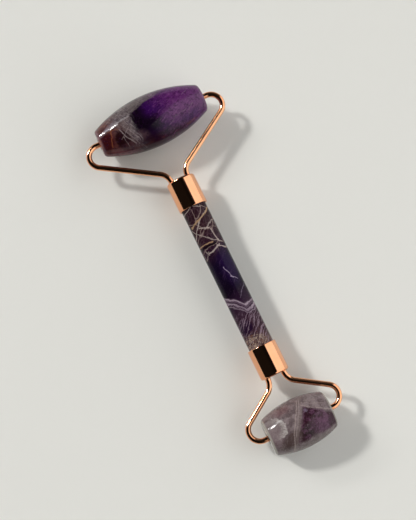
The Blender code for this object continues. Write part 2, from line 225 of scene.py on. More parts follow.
class Finish(Nodes):
    """A Principled material that is being mixed."""

    def __init__(self, name, constants):
        self.material = bpy.data.materials.new(name)
        self.material.use_nodes = True
        super().__init__(self.material.node_tree)
        self.shader = self.tree.nodes["Principled BSDF"]
        self.colour = None  # the first tone, and then whatever is laid over it
        for socket, value in constants.items():
            self.shader.inputs[socket].default_value = value

    def around(self, centre):
        """Places on the piece, in millimetres from its centre."""
        where = self.node("ShaderNodeTexCoord", {}, {}, "Object")
        shift = tuple(-c / MILLIMETRE for c in centre)
        values = {"Vector": where, "Location": shift, "Scale": (1 / MILLIMETRE,) * 3}
        return self.node("ShaderNodeMapping", {}, values)

    def framed(self, where, turn, size=(1, 1, 1), middle=(0, 0, 0)):
        """The same places from a frame of its own middle, turn and size."""
        values = {"Vector": where, "Location": middle, "Rotation": turn, "Scale": size}
        return self.node("ShaderNodeMapping", {"vector_type": "TEXTURE"}, values)

    def noise(self, where, scale, detail=3.0, roughness=0.55, output="Fac"):
        values = {"Vector": where, "Scale": scale, "Detail": detail, "Roughness": roughness}
        return self.node("ShaderNodeTexNoise", {}, values, output)

    def fibres(self, where, turn, size):
        """Noise drawn out along one direction, turned by some degrees about the upright."""
        return self.noise(self.framed(where, (0, 0, math.radians(turn)), size), 1.0, 4.0, 0.62)

    def axis(self, where, letter):
        """One of a place's three coordinates."""
        return self.node("ShaderNodeSeparateXYZ", {}, {0: where}, letter)

    def wandering(self, where, scale, reach, detail=2.0):
        """The places moved by up to half the reach each way, smoothly, as noise at that scale."""
        colour = self.noise(where, scale, detail, output="Color")
        centred = self.vector("SUBTRACT", colour, (0.5, 0.5, 0.5))
        return self.vector("MULTIPLY_ADD", centred, (reach, reach, reach), where)

    def mix(self, share, first, second):
        """The first colour where the share is 0 and the second where it is 1."""
        values = {0: share, 6: first, 7: second}
        return self.node("ShaderNodeMix", {"data_type": "RGBA"}, values, 2)

    def patch(self, where, middle, size, turn=0.0, soft=0.5):
        """1 inside an ellipsoid and 0 outside it: a smooth fall of its distance, which is the
        length of (place - middle) / size, from 1 - soft to 1 + soft."""
        inside = self.framed(where, (0, 0, math.radians(turn)), size, middle)
        return self.smooth(self.vector("LENGTH", inside, output=1), 1 + soft, 1 - soft)

    def sheet(self, where, start, end, width, deep=60.0, lean=0.0, ragged=0.0):
        """1 on a thin vein that cuts through the stone along a line seen from above.

        The vein is a slab whose distance is the length of max(|place| - half size, 0), in a frame
        that lies along the line and leans about it. Ragged is noise added to that distance.
        """
        (x0, y0), (x1, y1) = start, end
        angle = math.atan2(y1 - y0, x1 - x0)
        frame_of = self.framed(
            where, (math.radians(lean), 0, angle), middle=((x0 + x1) / 2, (y0 + y1) / 2, 0)
        )
        size = (math.hypot(x1 - x0, y1 - y0) / 2, 0.0, deep)
        beyond = self.vector("SUBTRACT", self.vector("ABSOLUTE", frame_of), size)
        outside = self.vector("MAXIMUM", beyond, (0, 0, 0))
        distance = self.vector("LENGTH", outside, output=1) + ragged
        return self.smooth(distance, width, width * 0.3)

    def vein(self, where, points, width, **more):
        """Sheets from each point to the next."""
        runs = [self.sheet(where, a, b, width, **more) for a, b in zip(points, points[1:])]
        whole = runs[0]
        for run in runs[1:]:
            whole = whole.at_least(run)
        return whole

    def with_veins(self, whole, where, runs, width, **more):
        """The whole so far and more veins, each with its points and its share of strength."""
        for points, share in runs:
            whole = whole.at_least(self.vein(where, points, width, **more) * share)
        return whole

    def lay(self, share, red, green, blue):
        """Lays a tone, in display values, over the colour so far, by a share from 0 to 1."""
        self.colour = self.mix(share, self.colour, tone(red, green, blue))

    def lay_patches(self, where, patches):
        """Lays soft ellipsoids of tone one after the other, each by its own strength."""
        for middle, size, turn, soft, strength, shown in patches:
            self.lay(self.patch(where, middle, size, turn, soft) * strength, *shown)

    def along_ramp(self, place, length, stops):
        """Starts the colour: tones from one end of the stone to the other, each at its share of
        the length, by a place in millimetres from the middle."""
        settings = {"stops": [(at_share, tone(*shown)) for at_share, *shown in stops]}
        values = {"Fac": place * (1 / length) + 0.5}
        self.colour = self.node("ShaderNodeValToRGB", settings, values)

    def done(self, colour, roughness, bump=None, strength=0.1, distance=1e-5):
        self.plug(self.shader.inputs["Base Color"], colour)
        self.plug(self.shader.inputs["Roughness"], roughness)
        if bump is not None:
            values = {"Height": bump, "Strength": strength, "Distance": distance}
            self.plug(self.shader.inputs["Normal"], self.node("ShaderNodeBump", {}, values))
        return self.material


def dress(piece, material, body, slot, *nodes):
    """Gives a finished piece its material and body, and hides the CAD nodes it stands for. The slot
    is not used.
    """
    piece.data.materials.append(material)
    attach(piece, body)
    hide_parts(*nodes)


rod_low, rod_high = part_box("handle_stone")
rod_radius = (rod_high.x - rod_low.x) / 2
rod_length = rod_high.y - rod_low.y
rod_centre = tuple((rod_low + rod_high) / 2)
axis_height = rod_centre[2]
ROD_CHAMFER = 0.0004
ROD_BORE_RADIUS = 0.0017
ROD_BORE_DEPTH = 0.0090
ROD_BORE_FLOOR_FILLET = 0.0002
ROD_BORE_LIP = 0.0001
rod_bore_floor = rod_length / 2 - ROD_BORE_DEPTH

half_rod = [
    (0.0, rod_bore_floor),
    (ROD_BORE_RADIUS, rod_bore_floor),
    (ROD_BORE_RADIUS, rod_length / 2),
    (rod_radius, rod_length / 2),
]
rod_fillets = [0, ROD_BORE_FLOOR_FILLET, ROD_BORE_LIP, ROD_CHAMFER]
rod_profile = rounded(
    half_rod + [(radius, -distance) for radius, distance in reversed(half_rod)],
    rod_fillets + rod_fillets[::-1],
)
rod = turned("handle_rod", rod_profile, rod_centre, (0, 1, 0), sides=128)

BANDED_RAMP_LENGTH = 56.0  # millimetres of rod, from the first tone to the last
banded = Finish("banded_amethyst", {"IOR": 1.54, "Specular IOR Level": 0.09})
at = banded.around(rod_centre)
slow = banded.wandering(at, 0.22, 1.6)
drift = banded.wandering(slow, 0.9, 0.8)
crooked = banded.wandering(slow, 1.3, 0.55, 4.0)
fine = banded.noise(at, 1.9, 5.0, 0.65)
ragged = (banded.noise(at, 2.6, 3.0) - 0.5) * 0.3
along_rod = banded.vector("DOT_PRODUCT", drift, (-0.35, 1.0, 0.1), output=1)
banded.along_ramp(
    along_rod,
    BANDED_RAMP_LENGTH,
    [
        # share of the length, red, green, blue
        (0.00, 104, 84, 80),
        (0.10, 70, 46, 56),
        (0.22, 62, 40, 54),
        (0.33, 42, 22, 44),
        (0.42, 17, 7, 24),
        (0.60, 20, 10, 34),
        (0.68, 38, 18, 36),
        (0.84, 46, 22, 30),
        (1.00, 40, 20, 28),
    ],
)
banded.lay(banded.patch(drift, (1.8, 2.5, 4), (3.0, 6.5, 6)) * 0.7, 34, 15, 58)
fibres = banded.fibres(drift, 48, (5.5, 0.40, 3.0))
foot_end = banded.smooth(along_rod, -11.5, -15.0)
banded.lay(foot_end * banded.smooth(fibres, 0.51, 0.60) * 0.75, 142, 120, 136)
banded.lay(foot_end * banded.smooth(fibres, 0.47, 0.38) * 0.8, 34, 16, 30)
plum = banded.patch(drift, (-2.4, -19.3, 4), (2.2, 2.9, 5), soft=0.3)
banded.lay(plum * banded.smooth(fibres, 0.66, 0.50) * 0.9, 38, 18, 44)
over = banded.axis(drift, "X")
fold = ((1.0 - over) * 0.9).at_least((over - 1.0) * 0.3)
bands_at = over["Y"] - fold
folded = banded.node("ShaderNodeCombineXYZ", {}, {"X": bands_at * 1.5, "Y": over["Z"] * 0.06})
stripes = banded.noise(folded, 1.0, 3.0, 0.5)
in_bands = banded.smooth(bands_at, -15.6, -14.2) * banded.smooth(bands_at, -10.9, -11.8)
banded.lay(in_bands * 0.8, 92, 74, 90)
banded.lay(in_bands * banded.smooth(stripes, 0.48, 0.56), 158, 140, 154)
banded.lay(in_bands * banded.smooth(stripes, 0.43, 0.36), 44, 24, 44)
far_end = banded.smooth(along_rod, 8.5, 11.0)


def net(scale, thick):
    """Pale lines along the borders of cells, which thin out and break in places."""
    cells = banded.node(
        "ShaderNodeTexVoronoi",
        {"feature": "DISTANCE_TO_EDGE"},
        {"Vector": crooked, "Scale": scale, "Randomness": 1.0},
    )
    return banded.smooth(cells + (fine - 0.42) * thick * 1.6, thick, thick * 0.15) * far_end


banded.lay(far_end * banded.smooth(fibres, 0.5, 0.66) * 0.4, 96, 72, 84)
banded.lay(net(0.46, 0.08) * 0.22, 120, 96, 98)
banded.lay(net(0.17, 0.034) * 0.72, 154, 132, 126)
main_vein = [(-2.6, 10.2), (1.7, 11.6), (0.8, 16.6), (-2.2, 18.0)]
pale = banded.vein(crooked, main_vein, 0.30, ragged=ragged, lean=12)
branches = [
    # points from one end to the other, share of full strength
    ([(-4.2, 15.6), (0.0, 20.0), (3.6, 22.8)], 1.0),
    ([(4.4, 9.6), (1.8, 11.6)], 1.0),
    ([(3.9, 12.0), (-0.4, 15.6), (-4.2, 19.6)], 0.7),
    ([(0.8, 16.6), (4.2, 19.4)], 0.7),
    ([(-4.2, 24.8), (-1.2, 25.8), (1.2, 24.6)], 0.8),
    ([(-4.0, 7.2), (-1.6, 9.4), (-2.4, 11.0)], 0.5),
]
pale = banded.with_veins(pale, crooked, branches, 0.26, ragged=ragged, lean=-14)
banded.lay(pale * 0.8, 184, 168, 162)
tan_line = [(-4.2, 20.3), (-1.2, 22.0), (1.5, 23.2), (4.0, 24.6)]
tan_vein = banded.vein(crooked, tan_line, 0.42, ragged=ragged, lean=10)
short_tan = banded.sheet(crooked, (-4.0, 12.7), (0.4, 12.5), 0.28, ragged=ragged)
tan_vein = tan_vein.at_least(short_tan)
banded.lay(tan_vein * 0.85, 172, 140, 108)
slot_dark = banded.sheet(slow, (-3.6, 11.7), (1.0, 11.8), 0.5, ragged=ragged)
banded.lay(slot_dark * (1 - pale), 18, 8, 14)
crack_line = [(1.4, -3.8), (-0.6, -2.2), (-1.2, -0.2), (-2.2, 2.4)]
crack = banded.vein(crooked, crack_line, 0.16, ragged=ragged * 0.5, lean=25)
faint_crack = banded.vein(crooked, [(0.3, -9.2), (4.2, -4.6)], 0.14, ragged=ragged * 0.5)
crack = crack.at_least(faint_crack * 0.4)
banded.lay(crack * 0.75, 166, 150, 176)
cream = banded.patch(drift, (-1.6, -25.4, 0), (4.2, 3.4, 12), soft=0.35)
cream = cream * banded.smooth(fine * 1.5 + fibres, 1.18, 1.42)
banded.lay(cream * 0.9, 170, 150, 132)
specks = banded.smooth(banded.noise(at, 1.1, 4.0, 0.7), 0.54, 0.64)
rusty = banded.patch(drift, (-0.6, -24.6, 0), (6, 3.6, 12), soft=0.35)
banded.lay(rusty * specks * 0.6, 120, 74, 44)
middle_wisps = banded.patch(drift, (0.5, 1.5, 3), (6, 10, 8), soft=0.4)
middle_wisps = middle_wisps * banded.smooth(fibres, 0.55, 0.72)
banded.lay(middle_wisps * 0.45, 74, 50, 84)
banded.lay(banded.smooth(fine, 0.48, 0.30) * 0.55, 12, 5, 14)
banded.lay(banded.smooth(fine, 0.56, 0.76) * 0.22, 128, 104, 126)
polish = banded.noise(at, 0.5, 3.0)
rod_material = banded.done(
    banded.colour, 0.05 + polish * 0.08 + pale * 0.08, fine + pale * 0.4, strength=0.06
)
dress(rod, rod_material, "frame", "banded_amethyst", "handle_stone")


# ---- the ferrules -------------------------------------------------------------------------------
# Two deep-drawn cups of thin brass, plated in rose gold and polished to a mirror. Each is bonded
# over an end of the rod. The closed end is rounded over, and the lip at the mouth is broken.

FERRULE_WALL = 0.0005
FERRULE_FLOOR = 0.0014
FERRULE_END_FILLET = 0.0008
FERRULE_LIP_FILLET = 0.0002
FERRULE_MOUTH_FILLET = 0.0001
FERRULE_FLOOR_FILLET = 0.0003
STUD_SEAT_RADIUS = 0.0012
STUD_SEAT_DEPTH = 0.0007
STUD_SEAT_LIP = 0.00005
STUD_SEAT_FILLET = 0.0001
PLATING_TONE = (0.955, 0.475, 0.262, 1)
PLATING_DRIFT_TONE = (0.94, 0.44, 0.235, 1)
SMEAR_TONE = (0.90, 0.45, 0.28, 1)
CUP_RIPPLE_SCALE = 0.35
CUP_LUSTRE = 0.03


def rose_gold(name, centre, polish_scale, lustre):
    """Mirror plating: the tone drifts a little, and the polish has soft smears and fine ripples.
    Lustre is its least roughness."""
    plate = Finish(name, {"Metallic": 1.0})
    spot = plate.around(centre)
    cloud = plate.noise(spot, 0.22, 3.0)
    tint = plate.mix(plate.smooth(cloud, 0.35, 0.7), PLATING_TONE, PLATING_DRIFT_TONE)
    smear = plate.smooth(plate.noise(plate.wandering(spot, 0.5, 1.5), 0.8, 4.0, 0.6), 0.48, 0.75)
    tint = plate.mix(smear * 0.25, tint, SMEAR_TONE)
    ripple = plate.noise(spot, polish_scale, 2.0)
    grain = plate.noise(spot, 9.0, 3.0)
    roughness = lustre + smear * 0.04 + plate.smooth(grain, 0.6, 0.8) * 0.03
    return plate.done(tint, roughness, ripple + grain * 0.06, strength=0.12, distance=2e-5)


def spans(box, sense):
    """A box's radius across the rod, its length, and the y of its inner and its outer end."""
    low, high = box
    inner, outer = (low.y, high.y) if sense > 0 else (high.y, low.y)
    return (high.x - low.x) / 2, high.y - low.y, inner, outer


yoke_senses = {"large": 1, "small": -1}  # which way along Y each end of the tool points
ferrule_ends = {}
for end, sense in yoke_senses.items():
    radius, length, mouth_y, end_y = spans(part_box(f"{end}_ferrule"), sense)
    bore = radius - FERRULE_WALL
    floor_at = length - FERRULE_FLOOR
    ferrule_ends[end] = end_y
    cup_profile = rounded(
        [
            (0.0, length),
            (radius, length),
            (radius, 0.0),
            (bore, 0.0),
            (bore, floor_at),
            (STUD_SEAT_RADIUS, floor_at),
            (STUD_SEAT_RADIUS, floor_at + STUD_SEAT_DEPTH),
            (0.0, floor_at + STUD_SEAT_DEPTH),
        ],
        [
            0,
            FERRULE_END_FILLET,
            FERRULE_LIP_FILLET,
            FERRULE_MOUTH_FILLET,
            FERRULE_FLOOR_FILLET,
            STUD_SEAT_LIP,
            STUD_SEAT_FILLET,
            0,
        ],
        steps=8,
    )
    foot = (0.0, mouth_y, axis_height)
    cup = turned(f"{end}_cup", cup_profile, foot, (0, sense, 0), sides=128)
    middle = (0, (mouth_y + end_y) / 2, axis_height)
    plating = rose_gold(f"{end}_cup_plating", middle, CUP_RIPPLE_SCALE, CUP_LUSTRE)
    dress(cup, plating, "frame", "rose_gold", f"{end}_ferrule")


# ---- the studs and their resin ------------------------------------------------------------------
# A steel stud stands in each cup's floor and reaches into the rod's drilled end. Grooves turned
# in it key the clear two-part resin that is poured round it, which also fills the rod's bore.

GROOVE_PITCH = 0.0006
GROOVE_DEPTH = 0.00018
GROOVES_FROM, GROOVES_TO = 0.06, 0.66  # shares of the stud's length
STUD_END_TAPER = 0.0003
STUD_RINGS = 161
CAST_FOOT_FILLET = 0.0002
CAST_FILLET = 0.0001
SEAT_GAP = 0.0001

steel = Finish("bright_steel", {"Metallic": 1.0})
lathe_place = steel.framed(steel.around((0, 0, axis_height)), (0, 0, 0), (9, 0.05, 9))
lathe = steel.noise(lathe_place, 1.0, 2.0)
steel_material = steel.done(
    steel.mix(lathe, (0.52, 0.51, 0.50, 1), (0.66, 0.65, 0.63, 1)), 0.18 + lathe * 0.2, lathe
)
resin = Finish("clear_epoxy", {"IOR": 1.5, "Transmission Weight": 0.35})
clouded = resin.noise(resin.around((0, 0, axis_height)), 1.2, 4.0)
resin_material = resin.done(
    resin.mix(clouded, tone(226, 219, 192), tone(204, 188, 146)), 0.12 + clouded * 0.15, clouded
)

for end, sense in yoke_senses.items():
    stud_radius, stud_length, stud_foot, _ = spans(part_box(f"{end}_stud"), sense)
    reach = np.linspace(0.0, 1.0, STUD_RINGS)
    turns = np.abs(np.mod(reach * stud_length / GROOVE_PITCH, 1.0) - 0.5) * 2
    in_rod = (reach > GROOVES_FROM) & (reach < GROOVES_TO)
    side = stud_radius - np.where(in_rod, GROOVE_DEPTH * (1 - turns) ** 2, 0.0)
    side[0] = side[-1] = stud_radius - STUD_END_TAPER
    stud_profile = np.vstack(
        [[0.0, 0.0], np.stack([side, reach * stud_length], 1), [0.0, stud_length]]
    )
    foot = (0, stud_foot, axis_height)
    stud = turned(f"{end}_key", stud_profile, foot, (0, sense, 0), sides=48)
    dress(stud, steel_material, "frame", "bright_steel", f"{end}_stud")

    cast_radius, cast_length, cast_foot, _ = spans(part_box(f"{end}_epoxy"), sense)
    core = stud_radius + SEAT_GAP
    tip = abs(cast_foot - stud_foot)
    cast_profile = rounded(
        [
            (0.0, 0.0),
            (cast_radius, 0.0),
            (cast_radius, cast_length),
            (core, cast_length),
            (core, tip - SEAT_GAP),
            (0.0, tip - SEAT_GAP),
        ],
        [0, CAST_FOOT_FILLET, CAST_FILLET, CAST_FILLET, CAST_FILLET, 0],
        steps=4,
    )
    foot = (0, cast_foot, axis_height)
    cast = turned(f"{end}_cast", cast_profile, foot, (0, sense, 0), sides=64)
    dress(cast, resin_material, "frame", "clear_epoxy", f"{end}_epoxy")


# ---- the wire arms ------------------------------------------------------------------------------
# Hard brass wire, bent cold and plated with the cups. Both feet of a yoke stand in holes in the
# cup's floor and are brazed there. The far ends turn in along the roller's axis, as its axle pins.

WIRE_RADIUS = 0.0010
WIRE_FOOT_SPREAD = 0.00305
WIRE_FOOT_STUB = 0.0003
WIRE_FOOT_BEND = 0.0051
WIRE_ELBOW_BEND = 0.0040
WIRE_END_ROUNDING = 0.00025
WIRE_RIPPLE_SCALE = 0.55
WIRE_LUSTRE = 0.075
PIN_OVERHANG = 0.0005  # how far the pin reaches past the inner end of its bush
BRAZE_GAP = 0.00002  # the least gap round the wire
BRAZE_RELIEF = 0.00008  # round the wire, below the collar
BRAZE_RELIEF_TOP = 0.0001  # how far below the cup's end face the relief stops
BRAZE_LIFT = 0.00001  # the collar's edge over the cup's end face
BRAZE_COLLAR = 0.0003  # how far the fillet climbs the wire and spreads on the cup
BRAZE_COLLAR_SAG = 0.35  # where the hollow of the fillet lies, as a share of the collar
BRAZE_FOOT_FILLET = 0.0001
BRAZE_SOFT_FILLET = 0.0002
BRAZE_TIGHT_FILLET = 0.00002


def arm_line(elbow_x, axle_reach, pin_tip, foot_depth):
    """The arm's centre line as (across, along) points, from the foot to the pin's tip.

    Straight out of the cup, round the foot's bend, straight along the line that touches both
    bends and crosses between them, round the elbow's arc, and straight in along the axle. The
    line's slope is the angle between the two bends' centres less asin(sum of radii / distance).
    """
    foot_centre = np.array([WIRE_FOOT_SPREAD + WIRE_FOOT_BEND, WIRE_FOOT_STUB])
    elbow_centre = np.array([elbow_x - WIRE_ELBOW_BEND, axle_reach - WIRE_ELBOW_BEND])
    across, along = elbow_centre - foot_centre
    crossing = math.asin((WIRE_FOOT_BEND + WIRE_ELBOW_BEND) / math.hypot(across, along))
    slope = math.atan2(along, across) - crossing

    def arc(centre, radius, start, end):
        angle = np.linspace(start, end, 40)[:, None]
        return centre + radius * np.hstack([np.cos(angle), np.sin(angle)])

    def straight(start, end):
        share = np.linspace(0, 1, 8)[1:-1, None]
        return np.array(start) * (1 - share) + np.array(end) * share

    foot_bend = arc(foot_centre, WIRE_FOOT_BEND, math.pi, math.pi / 2 + slope)
    elbow = arc(elbow_centre, WIRE_ELBOW_BEND, slope - math.pi / 2, math.pi / 2)
    foot = np.array([WIRE_FOOT_SPREAD, -foot_depth])
    tip = np.array([pin_tip, axle_reach])
    return np.vstack(
        [
            foot,
            straight(foot, foot_bend[0]),
            foot_bend,
            straight(foot_bend[-1], elbow[0]),
            elbow,
            straight(elbow[-1], tip),
            tip,
        ]
    )


def drawn(name, line, radius, round_off, height, sides=48):
    """A round wire along a line that lies flat at that height, with its two ends rounded off.

    A point is line(s) + radius * (cos(angle) * across + sin(angle) * up), where across is the
    level normal of the line. Each end shrinks through a quarter circle of size round_off.
    """
    run = np.gradient(line, axis=0)
    run /= np.linalg.norm(run, axis=1, keepdims=True)
    quarter = np.linspace(0, math.pi / 2, 6)
    inset = (round_off * (1 - np.cos(quarter)))[:, None]
    rounding = radius - round_off * (1 - np.sin(quarter))
    start, finish = line[0] + run[0] * inset, (line[-1] - run[-1] * inset)[::-1]
    centres = np.vstack([line[:1], start, line[1:-1], finish, line[-1:]])
    middle = np.full(len(line) - 2, radius)
    radii = np.concatenate([[0.0], rounding, middle, rounding[::-1], [0.0]])
    spread = [len(start) + 1, *[1] * (len(line) - 2), len(finish) + 1]
    heading = np.repeat(run, spread, axis=0)
    across = np.stack([-heading[:, 1], heading[:, 0], np.zeros(len(heading))], 1)
    angle = np.arange(sides) * 2 * math.pi / sides
    centre = np.hstack([centres, np.full((len(centres), 1), height)])
    grid = (
        centre[:, None, :]
        + (radii[:, None] * np.cos(angle))[:, :, None] * across[:, None, :]
        + (radii[:, None] * np.sin(angle))[:, :, None] * np.array([0.0, 0.0, 1.0])
    )
    return skin(name, grid)


braze = Finish("braze_alloy", {"Metallic": 1.0})
flow = braze.noise(braze.around((0, 0, axis_height)), 2.2, 4.0)
braze_material = braze.done(
    braze.mix(flow, (0.90, 0.50, 0.27, 1), (0.84, 0.52, 0.30, 1)), 0.08 + flow * 0.14, flow,
    strength=0.3, distance=4e-5,
)

for end, sense in yoke_senses.items():
    for side_name, side in (("left", -1), ("right", 1)):
        name = f"{end}_{side_name}"
        end_y = ferrule_ends[end]
        arm_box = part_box(f"{name}_arm")
        _, _, foot_y, _ = spans(arm_box, sense)
        farthest = max(abs(corner.x) for corner in arm_box)
        roller_low, roller_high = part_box(f"{end}_roller_stone")
        axle_reach = abs((roller_low.y + roller_high.y) / 2 - end_y)
        pin_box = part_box(f"{end}_{side_name}_bush")
        pin_tip = min(abs(corner.x) for corner in pin_box) - PIN_OVERHANG
        line = arm_line(farthest - WIRE_RADIUS, axle_reach, pin_tip, abs(end_y - foot_y))
        line = np.stack([side * line[:, 0], end_y + sense * line[:, 1]], 1)
        arm = drawn(f"{name}_wire", line, WIRE_RADIUS, WIRE_END_ROUNDING, axis_height)
        middle = (side * farthest * 0.6, end_y + sense * axle_reach * 0.5, axis_height)
        plating = rose_gold(f"{name}_wire_plating", middle, WIRE_RIPPLE_SCALE, WIRE_LUSTRE)
        dress(arm, plating, "frame", "rose_gold", f"{name}_arm")

        ring_radius, ring_length, ring_foot, _ = spans(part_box(f"{name}_braze"), sense)
        depth = abs(end_y - ring_foot)
        hole = WIRE_RADIUS + BRAZE_GAP
        relieved = WIRE_RADIUS + BRAZE_RELIEF
        ring_profile = rounded(
            [
                (hole, -depth),
                (ring_radius, -depth),
                (ring_radius, -depth + ring_length),
                (relieved, -depth + ring_length + BRAZE_RELIEF),
                (relieved, -BRAZE_RELIEF_TOP),
                (WIRE_RADIUS + BRAZE_COLLAR, BRAZE_LIFT),
                (WIRE_RADIUS + BRAZE_COLLAR_SAG * BRAZE_COLLAR, BRAZE_COLLAR_SAG * BRAZE_COLLAR),
                (hole, BRAZE_COLLAR),
            ],
            [
                0,
                BRAZE_FOOT_FILLET,
                BRAZE_SOFT_FILLET,
                *[BRAZE_TIGHT_FILLET] * 3,
                BRAZE_SOFT_FILLET,
                0,
            ],
            steps=4,
            ring=True,
        )
        foot = (side * WIRE_FOOT_SPREAD, end_y, axis_height)
        ring = turned(f"{name}_fillet", ring_profile, foot, (0, sense, 0), sides=64, ring=True)
        dress(ring, braze_material, "frame", "braze_alloy", f"{name}_braze")


# ---- the large roller ---------------------------------------------------------------------------
# A barrel of deep amethyst, turned, tumbled and polished like glass. It is bored through for the
# axle pins, with a wider seat at each end, where a white acetal bush is pressed in and runs.

BUSH_LENGTH = 0.0070
BUSH_RECESS = 0.0003
BUSH_SEAT_RADIUS = 0.0019
BUSH_RUNNING_GAP = 0.00008
BUSH_BORE_FILLET = 0.0001
BUSH_RIM_FILLET = 0.0002
STONE_BORE_RADIUS = 0.0013
BORE_LIP = 0.0002
BORE_STEP_FILLET = 0.00005
LARGE_END_RADIUS = 0.0047
LARGE_END_FILLET = 0.0010


def barrel(name, node, end_radius, end_fillet, sides=144):
    """A barrel stone and its centre.

    The side is an arc through the crown and both rims: radius - arc + sqrt(arc^2 - x^2). Each rim
    is rounded by the curve start * (1 - t)^2 + corner * 2t * (1 - t) + finish * t^2, whose corner
    is where the side's tangent meets the end face. The bore steps out to a seat at each end.
    """
    low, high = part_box(node)
    centre = tuple((low + high) / 2)
    half, radius = (high.x - low.x) / 2, (high.y - low.y) / 2
    swell = radius - end_radius
    arc_radius = (half * half + swell * swell) / (2 * swell)
    x = np.linspace(half - end_fillet, end_fillet - half, 97)
    side = np.stack([radius - arc_radius + np.sqrt(arc_radius**2 - x**2), x], 1)
    fall = x[0] / math.sqrt(arc_radius**2 - x[0] ** 2)
    corner = np.array([side[0, 0] - fall * end_fillet, half])
    rim = corner[0] - end_fillet
    turn = np.linspace(0, 1, 14)[1:-1, None]
    fillet = (rim, half) * (1 - turn) ** 2 + corner * 2 * turn * (1 - turn) + side[0] * turn**2
    seat = half - BUSH_RECESS - BUSH_LENGTH - SEAT_GAP
    bore = rounded(
        [
            (rim, -half),
            (BUSH_SEAT_RADIUS, -half),
            (BUSH_SEAT_RADIUS, -seat),
            (STONE_BORE_RADIUS, -seat),
            (STONE_BORE_RADIUS, seat),
            (BUSH_SEAT_RADIUS, seat),
            (BUSH_SEAT_RADIUS, half),
            (rim, half),
        ],
        [0, BORE_LIP, *[BORE_STEP_FILLET] * 4, BORE_LIP, 0],
        steps=5,
    )
    profile = np.vstack([fillet, side, fillet[::-1] * (1, -1), bore])
    return turned(name, profile, centre, (1, 0, 0), sides, ring=True), centre


def bushes(end, material):
    """A chamfered plain bearing in each end of the stone: a ring of the bush's own box."""
    for side_name, side in (("left", -1), ("right", 1)):
        low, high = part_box(f"{end}_{side_name}_bush")
        radius, length = (high.y - low.y) / 2, high.x - low.x
        bore = WIRE_RADIUS + BUSH_RUNNING_GAP
        corners = [(bore, 0.0), (radius, 0.0), (radius, length), (bore, length)]
        fillets = [BUSH_BORE_FILLET, BUSH_RIM_FILLET, BUSH_RIM_FILLET, BUSH_BORE_FILLET]
        profile = rounded(corners, fillets, steps=4, ring=True)
        foot = (low.x, (low.y + high.y) / 2, (low.z + high.z) / 2)
        bush = turned(f"{end}_{side_name}_bearing", profile, foot, (1, 0, 0), 64, ring=True)
        dress(bush, material, f"{end}_roller", "bush_polymer", f"{end}_{side_name}_bush")


polymer = Finish("bush_polymer", {"IOR": 1.48})
mottle = polymer.noise(polymer.around((0, 0, axis_height)), 3.0, 3.0)
polymer_material = polymer.done(
    polymer.mix(mottle, tone(232, 228, 216), tone(214, 208, 192)), 0.32 + mottle * 0.15, mottle
)

large_stone, large_centre = barrel(
    "large_barrel", "large_roller_stone", LARGE_END_RADIUS, LARGE_END_FILLET
)
DEEP_RAMP_LENGTH = 40.0  # millimetres of stone, from the first tone to the last
deep = Finish("deep_amethyst", {"IOR": 1.54, "Specular IOR Level": 0.17})
at = deep.around(large_centre)
slow = deep.wandering(at, 0.16, 1.8)
drift = deep.wandering(slow, 0.8, 0.9)
crooked = deep.wandering(slow, 1.4, 0.6, 4.0)
cloud = deep.noise(slow, 0.42, 6.0, 0.6)
fine = deep.noise(at, 1.7, 6.0, 0.68)
ragged = (deep.noise(at, 2.6, 3.0) - 0.5) * 0.3
x_along = deep.vector("DOT_PRODUCT", drift, (1.0, 0.02, 0.1), output=1)
deep.along_ramp(
    x_along,
    DEEP_RAMP_LENGTH,
    [
        # share of the length, red, green, blue
        (0.00, 104, 56, 48),
        (0.14, 84, 46, 44),
        (0.27, 98, 82, 82),
        (0.330, 108, 96, 98),
        (0.360, 20, 8, 22),
        (0.42, 18, 6, 24),
        (0.52, 44, 9, 60),
        (0.68, 64, 19, 78),
        (0.84, 80, 34, 88),
        (1.00, 104, 68, 106),
    ],
)
patches = [
    # middle, size, turn, softness, strength, tone
    ((1.8, 2.0, 7), (4.8, 3.0, 8), 8, 0.70, 0.85, (50, 10, 78)),
    ((-4.5, 1.2, 6), (2.3, 3.7, 9), -10, 0.55, 0.85, (15, 5, 18)),
    ((-2.4, -2.1, 6), (3.9, 2.3, 9), -16, 0.60, 0.90, (14, 5, 16)),
    ((-5.6, -5.7, 6), (2.4, 1.9, 9), -34, 0.55, 0.70, (86, 62, 70)),
    ((10.0, 2.8, 6), (7.0, 3.0, 8), -6, 0.60, 0.60, (88, 32, 96)),
    ((11.4, -2.6, 6), (8.0, 3.3, 8), -4, 0.60, 0.75, (106, 60, 108)),
    ((0.0, -2.9, 6), (2.7, 2.4, 9), -22, 0.70, 0.85, (18, 7, 24)),
    ((13.5, -5.6, 5), (6.0, 1.5, 7), 6, 0.60, 0.60, (58, 20, 84)),
    # painted shade: a dark band along the stone's side towards the handle
    ((0.0, -7.8, 3), (13.0, 2.1, 8), 0, 0.45, 0.90, (38, 11, 29)),
    ((-14.5, -7.0, 3), (6.0, 1.2, 7), -18, 0.50, 0.70, (110, 66, 76)),
    ((-13.5, 5.2, 5), (4.6, 1.5, 7), 8, 0.50, 0.80, (98, 54, 54)),
    ((-17.6, -1.6, 4), (3.0, 2.9, 8), 0, 0.25, 0.95, (60, 15, 19)),
    ((-12.0, -3.5, 5), (2.6, 3.6, 8), 14, 0.16, 0.97, (34, 8, 11)),
    ((-10.2, -6.6, 5), (3.6, 1.3, 8), -14, 0.40, 0.80, (72, 42, 48)),
    ((-19.9, -0.6, 2), (0.9, 1.8, 3), 0, 0.60, 0.85, (176, 104, 44)),
    # painted highlight: a pale streak along the tail of the glint near the left end
    ((-13.5, 2.7, 6), (6.2, 0.85, 5), 13, 0.60, 0.60, (164, 156, 170)),
]
deep.lay_patches(drift, patches)
skyward = deep.vector("DOT_PRODUCT", crooked, (-0.24, 0.97, 0.05), output=1)
cap = deep.smooth(skyward, 5.1, 5.6)
rightwards = deep.smooth(x_along, -1.0, 9.0)
